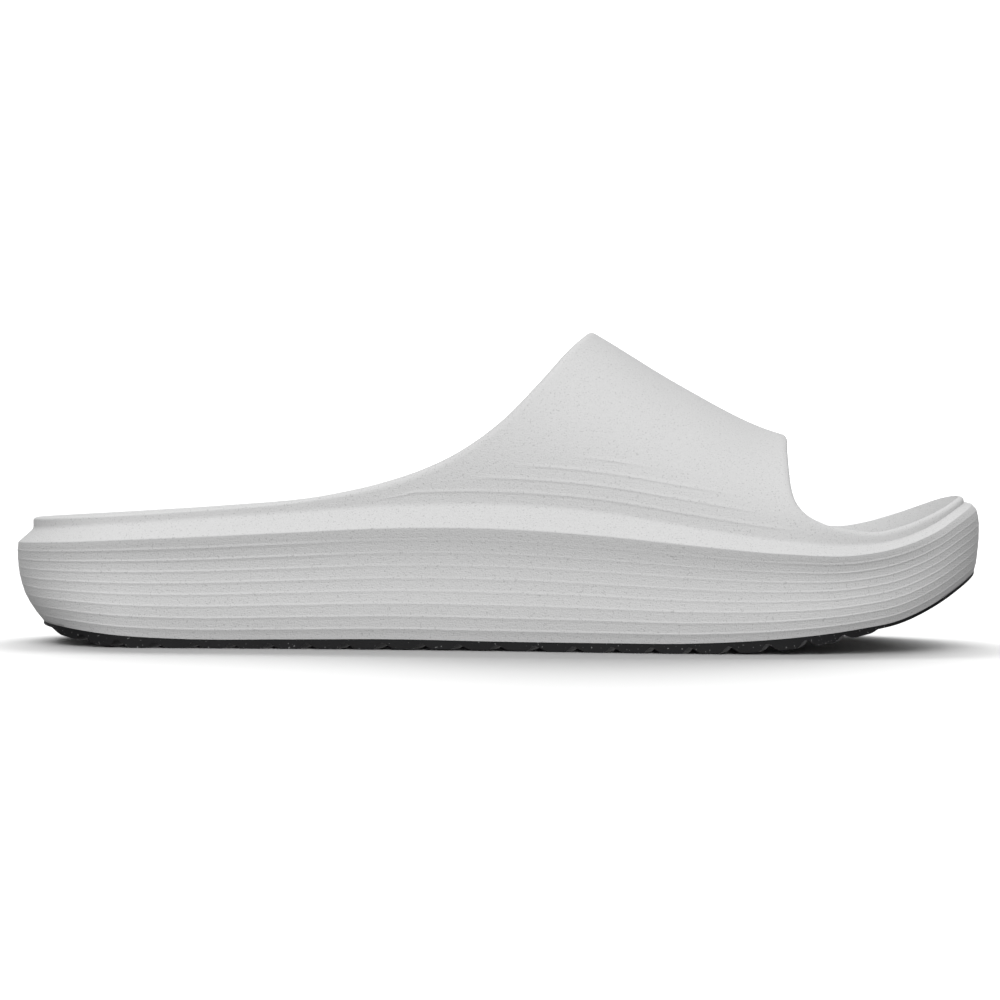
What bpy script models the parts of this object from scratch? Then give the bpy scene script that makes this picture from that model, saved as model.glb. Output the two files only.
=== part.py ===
"""A moulded slide for the right foot: one-piece foam body, rubber outsole and insole pad.

Sizes are in millimetres and turn into metres where each mesh is made. +X points to the toe,
-Y to the outer side of the foot and +Z up. The tips of the lugs stand on z = 0.
"""

import math

import bmesh
import bpy
import numpy as np

MM = 0.001


def table(names, *rows):
    """The columns of a table by name."""
    return dict(zip(names.split(), np.array(rows, float).T))


# Plan: a heel ellipse, two sides and a toe ellipse
HEEL_X = -104.0
HEEL_REACH = 40.5
TOE_X = 82.0
TOE_REACH = 63.6

# One row for each section along the foot: centre line and half width in plan, then heights
SECTIONS = table(
    "x      centre half  tread bottom edge  crease crown  floor cup  arch",
    (-145, -0.2,   41.2, 7.6,  8.5,   29.5, 33.1,  158.0, 26.1, 3.5, 0.0),
    (-138, -0.2,   41.2, 5.4,  6.7,   29.8, 33.6,  155.0, 24.9, 4.0, 0.0),
    (-126, -0.2,   41.2, 2.6,  5.3,   30.3, 34.4,  150.0, 23.9, 4.4, 0.0),
    (-108, -0.4,   41.2, 0.2,  3.5,   31.2, 35.6,  145.0, 23.4, 4.5, 0.0),
    (-90,  -0.7,   41.1, 0.0,  2.7,   32.0, 36.9,  140.0, 23.3, 4.5, 0.5),
    (-60,  -1.4,   40.8, 0.0,  2.8,   33.6, 39.1,  132.0, 24.1, 3.8, 4.0),
    (-30,  -2.8,   41.2, 0.3,  3.1,   35.1, 41.3,  121.8, 25.5, 3.0, 6.5),
    (0,    -3.5,   43.5, 0.3,  2.8,   35.1, 41.9,  109.1, 26.0, 2.5, 5.0),
    (30,   -3.0,   48.6, 0.0,  2.8,   33.3, 39.8,  92.7,  24.4, 2.0, 2.0),
    (55,   -1.7,   53.0, 0.0,  3.0,   30.9, 35.8,  77.7,  22.3, 2.0, 0.5),
    (82,   0.0,    55.0, 1.4,  4.6,   28.6, 31.8,  64.4,  20.8, 2.2, 0.0),
    (103,  1.8,    55.0, 4.9,  7.1,   28.3, 30.8,  60.2,  21.1, 2.2, 0.0),
    (116,  3.0,    55.0, 8.5,  9.5,   30.6, 32.5,  58.5,  23.4, 2.0, 0.0),
    (128,  4.2,    55.0, 13.3, 14.4,  34.9, 37.0,  58.5,  27.5, 1.8, 0.0),
    (137,  5.0,    55.0, 18.2, 19.2,  39.7, 41.6,  59.5,  31.8, 1.6, 0.0),
    (145,  5.6,    55.0, 23.0, 23.5,  43.4, 44.6,  61.0,  36.5, 1.5, 0.0),
)

# Top of the raised rim from the heel on, rising into the rear edge of the band
COLLAR = table(
    "x      top",
    (-142,  37.0),
    (-116,  38.3),
    (-86,   40.3),
    (-57.5, 43.0),
    (-45.7, 45.1),
    (-34.0, 47.9),
    (-22.5, 51.9),
    (-11.0, 57.7),
    (0.6,   66.4),
    (12.3,  78.7),
    (21.5,  89.1),
)
COLLAR_START_X = -48.0
APEX_X = 27.2

# Front edge of the band, from the rim up to the crown
FRONT = table(
    "x     top",
    (99.5, 35.7),
    (95.2, 36.6),
    (91.9, 37.9),
    (88.7, 39.7),
    (86.8, 41.6),
    (85.5, 43.7),
    (84.8, 46.2),
    (84.5, 49.4),
    (84.7, 53.8),
    (85.4, 58.8),
)
FRONT_X = 87.0
FRONT_END_X = 104.0

# Top of the raised rim round the toes
TOE_RIM = table(
    "x      top",
    (98.0,  36.0),
    (104.0, 35.0),
    (107.0, 34.7),
    (110.0, 34.7),
    (113.5, 35.2),
    (118.0, 36.2),
    (123.5, 37.9),
    (129.0, 39.9),
    (134.0, 42.0),
    (138.6, 44.0),
    (142.0, 45.2),
)

# Round the toes the rim's crest lies further out, and the wall slopes in from it to the floor
TOE_FORM_X = 96.0
TOE_BLEND = 18.0
TOE_CREST = 0.8
TOE_STRAIGHT = 0.8
TOE_SLOPE = 5.5
TOE_LEAN = 0.55
TOE_SHARE = 0.4

# How far the side wall lies in from the plan, by its share of the way down
SIDEWALL = table(
    "share heel side toe",
    (0.00, 0.3, 0.0, 2.3),
    (0.10, 0.1, 0.7, 1.0),
    (0.25, 0.2, 1.3, 0.2),
    (0.50, 1.0, 1.1, 0.0),
    (0.75, 3.2, 0.5, 0.4),
    (0.90, 5.8, 1.1, 0.8),
    (1.00, 8.0, 2.1, 1.3),
)
ENDS = ("heel", "side", "toe")
RIB_COUNT = 8
RIB_FIRST = 0.112
RIB_PITCH = 0.1135
RIB_STEP = 0.02
RIB_RELIEF = 0.25
RIB_CALM = 0.65

# Laps that follow the crease over the flanks of the band, each fading out at its ends
LAPS = table(
    "height squeeze start end",
    (4.1,   0.40,   -50,  88),
    (8.1,   0.55,   -11,  78),
    (12.0,  0.68,   2,    70),
    (15.9,  0.80,   19,   48),
)
LAP_STEP = 0.6
LAP_RELIEF = 0.3
LAP_FADE = 14.0
LAP_PASSES = 4

# Insets from the plan at the heel, the sides and the toe
LEDGE = np.array((4.7, 5.0, 4.6))
WALL = 5.0
DRAFT = 1.2
FLOOR = LEDGE + WALL + DRAFT
ROUND = 2.0
EDGE_ROUND = 2.2
HEEL_EDGE = 0.3
TOE_EDGE = 0.8
EDGE_SQUARE = 0.88
FRONT_CRISP = 0.28
INSTEP_LEAN = 5.0
INSTEP_RISE = 57.0

# Insole pad and outsole
FIT_GAP = 0.3
PAD_LIFT = 0.35
PAD_THICK = 4.0
PAD_EDGE = 0.9
OUTSOLE_INSET = 0.8
SLAB_THICK = 0.7
LUG_COUNT = 22
LUG_FIRST_X = -125.8
LUG_PITCH = 10.95
WAVE_DEPTH = 2.8
WAVE_CRESTS = 1.25
WAVE_FADE = 16.0

# Each lug from heel side to toe side: place from its middle, and share of its height
LUG = table(
    "place share",
    (-5.4, 0),
    (-1.4, 1),
    (2.6,  1),
    (4.6,  0),
)

# Fineness of the meshes
HEEL_COLUMNS = 7
SIDE_COLUMNS = 34
TOE_COLUMNS = 13
CROWN_BASE = (34.0, 56.0)
UPPER_ROWS = 6
INNER_ROWS = 5
EDGE_ROWS = 3
FLOOR_CELLS = 4
BOTTOM_CELLS = 2
TREAD_CELLS = 10
HEEL_END_RUNS = (0.0, 0.5, 1.5)
TOE_END_STEPS = 8
PATH_STEPS = 400
SAME = 1e-6
SHARP = math.radians(30)


def smooth(x, xs, ys):
    """Cubic curve through a table's rows, its slope at each row taken from the neighbours."""
    x = np.clip(x, xs[0], xs[-1])
    slope = np.gradient(ys, xs)
    k = np.clip(np.searchsorted(xs, x) - 1, 0, len(xs) - 2)
    width = xs[k + 1] - xs[k]
    t = (x - xs[k]) / width
    rise = ys[k] * (1 + 2 * t) * (1 - t) ** 2 + ys[k + 1] * t * t * (3 - 2 * t)
    return rise + width * (slope[k] * t * (1 - t) ** 2 - slope[k + 1] * t * t * (1 - t))


def section(name, x):
    return smooth(x, SECTIONS["x"], SECTIONS[name])


def step(x):
    """Smooth rise from 0 to 1."""
    x = np.clip(x, 0, 1)
    return x * x * (3 - 2 * x)


def plan_columns():
    """Base x, share along and share across of each column of one side, heel tip to toe tip."""
    heel = np.linspace(0, math.pi / 2, HEEL_COLUMNS, endpoint=False)
    sides = np.linspace(HEEL_X, TOE_X, SIDE_COLUMNS, endpoint=False)
    toe = np.linspace(math.pi / 2, 0, TOE_COLUMNS + 1)
    base = np.concatenate([0 * heel + HEEL_X, sides, 0 * toe + TOE_X])
    along = np.concatenate([-np.cos(heel), 0 * sides, np.cos(toe)])
    across = np.concatenate([np.sin(heel), 0 * sides + 1, np.sin(toe)])
    return base, along, across


BASE_X, ALONG, ACROSS = plan_columns()
LAST = len(BASE_X) - 1


def plan(inset):
    """x and half width of each column of the plan, drawn in at heel, sides and toe."""
    heel, side, toe = inset
    reach = np.where(ALONG < 0, HEEL_REACH - heel, TOE_REACH - toe)
    return BASE_X + ALONG * reach, ACROSS * (section("half", BASE_X) - side)


def toe_form():
    """How far each column has the form of the rim round the toes, from 0 to 1."""
    return step((plan(LEDGE)[0] - TOE_FORM_X) / TOE_BLEND)


def floor_plan(inset, lift):
    """Plan of the foam floor, drawn in further where the wall above it slopes."""
    heel, side, toe = FLOOR + inset
    slope = TOE_SLOPE - TOE_LEAN * lift
    return plan((heel, side + slope * toe_form(), toe + slope))


def half_at(x, inset):
    """Half width of that same plan at any x."""
    heel, side, toe = inset
    past_heel = np.clip((HEEL_X - x) / (HEEL_REACH - heel), 0, 1)
    past_toe = np.clip((x - TOE_X) / (TOE_REACH - toe), 0, 1)
    ends = np.sqrt((1 - past_heel**2) * (1 - past_toe**2))
    return (section("half", np.clip(x, HEEL_X, TOE_X)) - side) * ends


def column_at(x):
    return int(np.argmin(np.abs(plan(LEDGE)[0] - x)))


RIM_END = column_at(COLLAR_START_X)
CROWN_START = column_at(CROWN_BASE[0])
CROWN_END = column_at(CROWN_BASE[1])
RIM_START = column_at(FRONT_END_X)


def is_rim(column):
    """Whether a column only has the low rim on it, round the heel or the toes."""
    return (column < RIM_END) | (column > RIM_START)


def floor_z(x, y):
    """Height of the foam under the pad: cupped, and raised at the arch on the inner side."""
    heel, side, toe = FLOOR
    past_heel = np.maximum(HEEL_X - x, 0) / (HEEL_REACH - heel)
    past_toe = np.maximum(x - TOE_X, 0) / (TOE_REACH - toe)
    across = (y - section("centre", x)) / (section("half", np.clip(x, HEEL_X, TOE_X)) - side)
    outward = np.minimum(past_heel**2 + past_toe**2 + across**2, 1)
    return section("floor", x) + section("cup", x) * outward + section("arch", x) * step(across)


def shell(x, angle):
    """Outer wall of band and rim: an arch over each section, as (x, half width, z)."""
    crease = section("crease", x)
    half = half_at(x, LEDGE) * np.cos(angle) ** (2 / ROUND)
    z = crease + (section("crown", x) - crease) * np.sin(angle) ** (2 / ROUND)
    return np.stack([x, half, z], axis=-1)


def shell_angle(x, z):
    """The angle at which that arch reaches a height."""
    crease = section("crease", x)
    share = np.clip((z - crease) / (section("crown", x) - crease), 0, 1)
    return np.arcsin(share ** (ROUND / 2))


def instep_lean(x, z):
    """How far the arch leans to the inner side, where the instep is highest."""
    return INSTEP_LEAN * step((z - section("crease", x)) / INSTEP_RISE)


def unit(vectors):
    return vectors / np.linalg.norm(vectors, axis=-1, keepdims=True)


def shell_normal(x, angle):
    """Outward direction of the outer wall. The rims round heel and toe stand upright."""
    near = 1e-3
    inside = np.clip(angle, 2 * near, math.pi / 2 - 2 * near)
    run = shell(x + near, inside) - shell(x - near, inside)
    rise = shell(x, inside + near) - shell(x, inside - near)
    normal = np.cross(rise, run)
    normal[angle > math.pi / 2 - near, 1] = 0
    upright = np.stack([ALONG, ACROSS, 0 * ALONG], axis=-1)
    rim = is_rim(np.arange(LAST + 1))
    return unit(np.where(rim[:, None], upright, normal))


def evenly(x, angle, count):
    """The same path over the outer wall in equal steps."""
    points = shell(x, angle)
    run = np.append(0, np.cumsum(np.linalg.norm(np.diff(points, axis=0), axis=1)))
    marks = np.linspace(0, run[-1], count + 1)
    return np.interp(marks, run, x), np.interp(marks, run, angle)


def top_path():
    """x and angle at the top of each column: rim, rear edge, crown, front edge and toe rim."""
    top_x = plan(LEDGE)[0]
    top_z = np.where(top_x < TOE_X, smooth(top_x, COLLAR["x"], COLLAR["top"]), 0)
    toe_z = smooth(top_x, TOE_RIM["x"], TOE_RIM["top"])
    angle = shell_angle(top_x, np.where(top_x < TOE_X, top_z, toe_z))

    share = np.linspace(0, 1, PATH_STEPS)
    apex_z = section("crown", APEX_X)
    rear_x = top_x[RIM_END] + (APEX_X - top_x[RIM_END]) * (1 - (1 - share) ** 2)
    rear_z = smooth(rear_x, np.append(COLLAR["x"], APEX_X), np.append(COLLAR["top"], apex_z))
    rear_angle = shell_angle(rear_x, rear_z)
    rear_angle[-1] = math.pi / 2
    rear = slice(RIM_END, CROWN_START + 1)
    top_x[rear], angle[rear] = evenly(rear_x, rear_angle, CROWN_START - RIM_END)

    front_top = section("crown", FRONT_X)
    places = np.concatenate([[top_x[RIM_START]], FRONT["x"], [FRONT_X]])
    heights = np.concatenate([[toe_z[RIM_START]], FRONT["top"], [front_top]])
    run = np.append(0, np.cumsum(np.hypot(np.diff(places), np.diff(heights))))
    marks = run[-1] * (1 - share**2)
    front_x = smooth(marks, run, places)
    front_z = np.minimum(smooth(marks, run, heights), section("crown", front_x))
    front_angle = shell_angle(front_x, front_z)
    front_angle[0] = math.pi / 2
    front = slice(CROWN_END, RIM_START + 1)
    top_x[front], angle[front] = evenly(front_x, front_angle, RIM_START - CROWN_END)

    crown = slice(CROWN_START, CROWN_END + 1)
    top_x[crown] = np.linspace(APEX_X, FRONT_X, CROWN_END - CROWN_START + 1)
    angle[crown] = math.pi / 2
    return top_x, angle


def edge_directions(tops, normals):
    """Way out of the wall at its open edges, square to the edge and along the wall."""
    out = np.zeros_like(tops)
    mirror = np.array((1, -1, 1))
    for first, last in ((0, CROWN_START), (CROWN_END, LAST)):
        loop = tops[first : last + 1]
        ends = [loop[1:2] * mirror, loop, loop[-2:-1] * mirror]
        around = np.concatenate(ends)
        along = unit(around[2:] - around[:-2])
        out[first : last + 1] = unit(np.cross(along, normals[first : last + 1]))
    return out


def sidewall_rows():
    """Rows from rim edge to foam bottom: each lap swells to its lip, then steps back in."""
    rows = [(0.0, 0.0)]
    for k in range(RIB_COUNT):
        lip = RIB_FIRST + k * RIB_PITCH
        rows.append((lip, RIB_RELIEF))
        rows.append((lip + RIB_STEP, 0.0))
    rows.append((1.0, 0.0))
    made = []
    for share, relief in rows:
        relief = relief * (1 - RIB_CALM * ALONG**2)
        x, half = plan([smooth(share, SIDEWALL["share"], SIDEWALL[end]) - relief for end in ENDS])
        edge = section("edge", x)
        made.append(np.stack([x, half, edge + share * (section("bottom", x) - edge)], axis=-1))
    return made


def lap_fade(lap, x):
    start = LAPS["start"][lap]
    end = LAPS["end"][lap]
    return step((x - start) / LAP_FADE) * step((end - x) / LAP_FADE)


def wall_rows():
    """Outer wall from crease to top, its rounded edge, and the inner wall below that edge."""
    base_x = plan(LEDGE)[0]
    top_x, top_angle = top_path()
    tops = shell(top_x, top_angle)
    out = edge_directions(tops, shell_normal(top_x, top_angle))
    column = np.arange(LAST + 1)
    rim = is_rim(column)
    crown = (column >= CROWN_START) & (column <= CROWN_END)
    open_edge = (column <= CROWN_START) | (column >= CROWN_END)
    rise = tops[:, 2] - section("crease", top_x)
    rear = column <= CROWN_START
    edge_share = np.where(rear, HEEL_EDGE, TOE_EDGE)
    round_off = np.where(open_edge, np.minimum(EDGE_ROUND, edge_share * rise), 0)[:, None]
    ends = tops - round_off * out
    end_x = ends[:, 0]
    end_angle = np.where(crown, math.pi / 2, shell_angle(end_x, ends[:, 2]))
    wall_height = ends[:, 2] - section("crease", end_x)

    def at(share):
        return base_x + (end_x - base_x) * share, end_angle * share

    def wall(share):
        """Points of the outer wall at a share of the way up each column."""
        return shell(*at(share))

    outer = [wall(0 * base_x)]
    share = 0 * base_x
    for lap, (height, squeeze) in enumerate(zip(LAPS["height"], LAPS["squeeze"])):
        lap_height = np.where(rim, 0, np.minimum(height, squeeze * wall_height))
        for drop, relief in ((LAP_STEP, 0.0), (0.0, LAP_RELIEF)):
            for _ in range(LAP_PASSES):
                x = at(share)[0]
                goal = section("crease", x) + lap_height * (1 - drop / height)
                share = shell_angle(x, goal) / end_angle
            points = wall(share)
            points[:, 1] += np.where(rim, 0, relief * lap_fade(lap, points[:, 0]))
            outer.append(points)
    for k in range(1, UPPER_ROWS):
        outer.append(wall(np.where(rim, 0, share + (1 - share) * k / UPPER_ROWS)))
    last = wall(1 + 0 * base_x)
    outer.append(last)

    normal = shell_normal(end_x, end_angle)
    toe = toe_form()[:, None]
    foot = last - (WALL / 2 - TOE_CREST * toe) * normal
    crest = foot + round_off * out
    floor_x, floor_half = floor_plan(0.0, 0.0)
    floor_level = floor_z(floor_x, section("centre", floor_x) + floor_half)
    floor_row = np.stack([floor_x, floor_half, floor_level], axis=-1)

    def sloped(points, share):
        """Points of the inner wall, round the toes on the slope from crest to floor."""
        return points + (crest + (floor_row - crest) * share - points) * toe

    crisp = np.where(rear, 0, FRONT_CRISP * step((FRONT_END_X - top_x) / TOE_BLEND))
    outer_square = (EDGE_SQUARE - crisp)[:, None]
    inner_square = outer_square + TOE_STRAIGHT * toe
    inner = [sloped(last - WALL * normal, TOE_SHARE)]
    edge = []
    for turn in np.linspace(0, math.pi, EDGE_ROWS + 2)[1:-1]:
        outside = turn < math.pi / 2
        square = outer_square if outside else inner_square
        side = last if outside else inner[0]
        lean = abs(round(math.cos(turn), 9)) ** square
        edge.append(foot + (side - foot) * lean + round_off * math.sin(turn) ** square * out)

    for k in range(1, INNER_ROWS + 1):
        x, angle = at(np.where(rim, 0, 1 - k / INNER_ROWS))
        share = TOE_SHARE + (1 - TOE_SHARE) * k / (INNER_ROWS + 1)
        inner.append(sloped(shell(x, angle) - WALL * shell_normal(x, angle), share))
    return outer, edge, inner


class Builder:
    """Collects a closed mesh whose two sides share every point on the centre line."""

    def __init__(self):
        self.points = []
        self.faces = []

    def add(self, x, y, z):
        self.points.append((x * MM, y * MM, z * MM))
        return len(self.points) - 1

    def row(self, points, columns=range(LAST + 1), before=None):
        """Adds one row on both sides of the centre line. Points with no width are shared,
        and so are points where the row before already is."""
        sides = [{}, {}]
        for k in columns:
            x, half, z = points[k]
            if before is not None and np.allclose(points[k], before[0][k], atol=SAME):
                sides[0][k] = before[1][0][k]
                sides[1][k] = before[1][1][k]
                continue
            middle = section("centre", x) + instep_lean(x, z)
            sides[0][k] = self.add(x, middle - half, z)
            sides[1][k] = self.add(x, middle + half, z) if abs(half) > SAME else sides[0][k]
        return sides

    def rows(self, sheets):
        """Adds rows one after another, and the faces between them."""
        made = [self.row(sheets[0])]
        for points, earlier in zip(sheets[1:], sheets):
            made.append(self.row(points, before=(earlier, made[-1])))
            self.strip(made[-2], made[-1])
        return made

    def strip(self, lower, upper, first=0, last=LAST):
        """Faces between two rows, along the columns given."""
        for side in (0, 1):
            for k in range(first, last):
                self.face(lower[side][k], lower[side][k + 1], upper[side][k + 1], upper[side][k])

    def face(self, *corners):
        corners = [c for i, c in enumerate(corners) if c != corners[i - 1]]
        if len(corners) > 2:
            self.faces.append(corners)

    def fill(self, row, cells, height):
        """Spans a row from side to side with a surface of the given height."""
        lines = []
        for k in range(LAST + 1):
            start = self.points[row[0][k]]
            end = self.points[row[1][k]]
            line = [row[0][k]]
            for cell in range(1, cells):
                x = start[0] / MM
                y = (start[1] + (end[1] - start[1]) * cell / cells) / MM
                single = row[0][k] == row[1][k]
                line.append(row[0][k] if single else self.add(x, y, height(x, y)))
            lines.append(line + [row[1][k]])
        for near, far in zip(lines, lines[1:]):
            for cell in range(cells):
                self.face(near[cell], near[cell + 1], far[cell + 1], far[cell])

    def make(self, name, material):
        mesh = bpy.data.meshes.new(name)
        mesh.from_pydata(self.points, [], self.faces)
        shape = bmesh.new()
        shape.from_mesh(mesh)
        bmesh.ops.recalc_face_normals(shape, faces=shape.faces)
        shape.to_mesh(mesh)
        shape.free()
        mesh.shade_smooth()
        mesh.set_sharp_from_angle(angle=SHARP)
        mesh.materials.append(material)
        made = bpy.data.objects.new(name, mesh)
        bpy.context.scene.collection.objects.link(made)
        return made


def finish(name, colour, roughness):
    """A plain material of one colour."""
    material = bpy.data.materials.new(name)
    material.use_nodes = True
    shader = material.node_tree.nodes["Principled BSDF"]
    shader.inputs["Base Color"].default_value = (*colour, 1)
    shader.inputs["Roughness"].default_value = roughness
    shader.inputs["Metallic"].default_value = 0
    return material


def foam_body():
    """Midsole, rim and band moulded whole, open at heel and toes and hollow under the band."""
    build = Builder()
    outer, edge, inner = wall_rows()
    floor_x, floor_half = floor_plan(0.0, 0.0)
    rows = build.rows(sidewall_rows()[::-1] + outer)
    inner_rows = build.rows(inner)
    for first, last in ((0, CROWN_START), (CROWN_END, LAST)):
        ring = [build.row(points, range(first, last + 1)) for points in edge]
        for lower, upper in zip([rows[-1]] + ring, ring + [inner_rows[0]]):
            build.strip(lower, upper, first, last)

    floor_row = [{}, {}]
    for k in range(LAST + 1):
        x = floor_x[k]
        for side, sign in ((0, -1), (1, 1)):
            y = section("centre", x) + sign * floor_half[k]
            single = side == 1 and floor_half[k] < SAME
            floor_row[side][k] = floor_row[0][k] if single else build.add(x, y, floor_z(x, y))
    build.strip(inner_rows[-1], floor_row)
    build.fill(floor_row, FLOOR_CELLS, floor_z)
    build.fill(rows[0], BOTTOM_CELLS, lambda x, y: section("bottom", x))
    return build.make("upper_and_midsole", finish("moulded foam", (0.74, 0.74, 0.75), 0.6))


def insole():
    """Pad on the foam floor, from wall to wall, with an eased top edge."""
    build = Builder()
    rims = (
        (FIT_GAP, PAD_LIFT),
        (FIT_GAP, PAD_LIFT + PAD_THICK - PAD_EDGE),
        (FIT_GAP + PAD_EDGE, PAD_LIFT + PAD_THICK),
    )
    rows = []
    for inset, lift in rims:
        x, half = floor_plan(inset, lift)
        row = [{}, {}]
        for k in range(LAST + 1):
            for side, sign in ((0, -1), (1, 1)):
                y = section("centre", x[k]) + sign * half[k]
                single = side == 1 and half[k] < SAME
                row[side][k] = row[0][k] if single else build.add(x[k], y, floor_z(x[k], y) + lift)
        rows.append(row)
    for lower, upper in zip(rows, rows[1:]):
        build.strip(lower, upper)
    build.fill(rows[0], FLOOR_CELLS, lambda x, y: floor_z(x, y) + PAD_LIFT)
    build.fill(rows[-1], FLOOR_CELLS, lambda x, y: floor_z(x, y) + PAD_LIFT + PAD_THICK)
    return build.make("insole", finish("insole foam", (0.66, 0.66, 0.67), 0.75))


def outsole_stations(heel_tip, toe_tip):
    """x of each station along the outsole, with the share of the lug's height that it stands at."""
    stations = [(heel_tip + run, 0) for run in HEEL_END_RUNS]
    for k in range(LUG_COUNT):
        for place, share in zip(LUG["place"], LUG["share"]):
            stations.append((LUG_FIRST_X + k * LUG_PITCH + place, share))
    last = stations[-1][0]
    for k in range(1, TOE_END_STEPS + 1):
        share = math.sin(k / TOE_END_STEPS * math.pi / 2)
        stations.append((last + (toe_tip - last) * share, 0))
    return stations


def outsole():
    """Rubber sheet under the foam, turned up at heel and toe, with rows of waved lugs."""
    build = Builder()
    inset = np.array([SIDEWALL[end][-1] for end in ENDS]) + OUTSOLE_INSET
    heel_tip = HEEL_X - HEEL_REACH + inset[0]
    toe_tip = TOE_X + TOE_REACH - inset[2]
    shares = np.linspace(-1, 1, TREAD_CELLS + 1)
    below = []
    above = []
    for x, lug in outsole_stations(heel_tip, toe_tip):
        tip = x in (heel_tip, toe_tip)
        calm = step((x - heel_tip) / WAVE_FADE) * step((toe_tip - x) / WAVE_FADE)
        low = []
        high = []
        for share in shares:
            at = x + WAVE_DEPTH * calm * math.cos(2 * math.pi * WAVE_CRESTS * share)
            y = section("centre", at) + share * half_at(at, inset)
            top = section("bottom", at) - FIT_GAP
            root = top - SLAB_THICK
            bottom = root + lug * min(0, max(section("tread", at), 0) - root)
            if tip and low:
                low.append(low[0])
                high.append(high[0])
                continue
            low.append(build.add(at, y, bottom))
            high.append(build.add(at, y, top) if tip or abs(share) in (0, 1) else None)
        below.append(low)
        above.append([high[0], high[TREAD_CELLS // 2], high[-1]])
    for near, far in zip(below, below[1:]):
        for cell in range(TREAD_CELLS):
            build.face(near[cell], near[cell + 1], far[cell + 1], far[cell])
    for (left, middle, right), (next_left, next_middle, next_right) in zip(above, above[1:]):
        build.face(left, middle, next_middle, next_left)
        build.face(middle, right, next_right, next_middle)
    for low, low_next, high, high_next in zip(below, below[1:], above, above[1:]):
        for side in (0, -1):
            build.face(low[side], low_next[side], high_next[side], high[side])
    return build.make("outsole", finish("black rubber", (0.02, 0.02, 0.022), 0.7))


def main():
    for old in list(bpy.data.objects):
        bpy.data.objects.remove(old)
    slide = bpy.data.objects.new("slide", None)
    bpy.context.scene.collection.objects.link(slide)
    for piece in (foam_body(), outsole(), insole()):
        piece.parent = slide


main()
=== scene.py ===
"""Looks of the moulded foam slide: fine meshes, materials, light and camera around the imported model.

Sizes are in millimetres and turn into metres where each mesh is made. +X points to the toe,
-Y to the outer side of the foot and +Z up. The tips of the lugs stand on z = 0.
"""

import math

import bmesh
import bpy
import numpy as np
from mathutils import Matrix


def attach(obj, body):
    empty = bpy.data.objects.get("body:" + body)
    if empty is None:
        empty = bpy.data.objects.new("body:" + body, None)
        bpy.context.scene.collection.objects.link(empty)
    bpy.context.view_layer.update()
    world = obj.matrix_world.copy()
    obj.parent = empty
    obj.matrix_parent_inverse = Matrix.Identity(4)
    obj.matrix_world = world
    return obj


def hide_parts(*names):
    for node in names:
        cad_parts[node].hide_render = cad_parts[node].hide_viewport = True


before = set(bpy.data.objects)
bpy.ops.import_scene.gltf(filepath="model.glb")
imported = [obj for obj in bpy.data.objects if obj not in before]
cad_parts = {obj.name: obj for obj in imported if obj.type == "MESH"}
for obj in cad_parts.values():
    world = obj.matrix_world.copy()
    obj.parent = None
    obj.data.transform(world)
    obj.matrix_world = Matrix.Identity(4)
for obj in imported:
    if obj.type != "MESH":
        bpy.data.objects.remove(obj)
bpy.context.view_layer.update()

MM = 0.001


def table(names, *rows):
    """The columns of a table by name."""
    return dict(zip(names.split(), np.array(rows, float).T))


# Plan: a heel ellipse, two sides and a toe ellipse
HEEL_X = -104.0
HEEL_REACH = 40.5
TOE_X = 82.0
TOE_REACH = 63.6

# One row for each section along the foot: centre line and half width in plan, then heights
SECTIONS = table(
    "x      centre half  tread bottom edge  crease crown  floor cup  arch",
    (-145, -0.2,   41.2, 7.6,  8.5,   29.5, 33.1,  158.0, 26.1, 3.5, 0.0),
    (-138, -0.2,   41.2, 5.4,  6.7,   29.8, 33.6,  155.0, 24.9, 4.0, 0.0),
    (-126, -0.2,   41.2, 2.6,  5.3,   30.3, 34.4,  150.0, 23.9, 4.4, 0.0),
    (-108, -0.4,   41.2, 0.2,  3.5,   31.2, 35.6,  145.0, 23.4, 4.5, 0.0),
    (-90,  -0.7,   41.1, 0.0,  2.7,   32.0, 36.9,  140.0, 23.3, 4.5, 0.5),
    (-60,  -1.4,   40.8, 0.0,  2.8,   33.6, 39.1,  132.0, 24.1, 3.8, 4.0),
    (-30,  -2.8,   41.2, 0.3,  3.1,   35.1, 41.3,  121.8, 25.5, 3.0, 6.5),
    (0,    -3.5,   43.5, 0.3,  2.8,   35.1, 41.9,  109.1, 26.0, 2.5, 5.0),
    (30,   -3.0,   48.6, 0.0,  2.8,   33.3, 39.8,  92.7,  24.4, 2.0, 2.0),
    (55,   -1.7,   53.0, 0.0,  3.0,   30.9, 35.8,  77.7,  22.3, 2.0, 0.5),
    (82,   0.0,    55.0, 1.4,  4.6,   28.6, 31.8,  64.4,  20.8, 2.2, 0.0),
    (103,  1.8,    55.0, 4.9,  7.1,   28.3, 30.8,  60.2,  21.1, 2.2, 0.0),
    (116,  3.0,    55.0, 8.5,  9.5,   30.6, 32.5,  58.5,  23.4, 2.0, 0.0),
    (128,  4.2,    55.0, 13.3, 14.4,  34.9, 37.0,  58.5,  27.5, 1.8, 0.0),
    (137,  5.0,    55.0, 18.2, 19.2,  39.7, 41.6,  59.5,  31.8, 1.6, 0.0),
    (145,  5.6,    55.0, 23.0, 23.5,  43.4, 44.6,  61.0,  36.5, 1.5, 0.0),
)

# Top of the raised rim from the heel on, rising into the rear edge of the band
COLLAR = table(
    "x      top",
    (-142,  37.0),
    (-116,  38.3),
    (-86,   40.3),
    (-57.5, 43.0),
    (-45.7, 45.1),
    (-34.0, 47.9),
    (-22.5, 51.9),
    (-11.0, 57.7),
    (0.6,   66.4),
    (12.3,  78.7),
    (21.5,  89.1),
)
COLLAR_START_X = -48.0
APEX_X = 27.2

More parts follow.
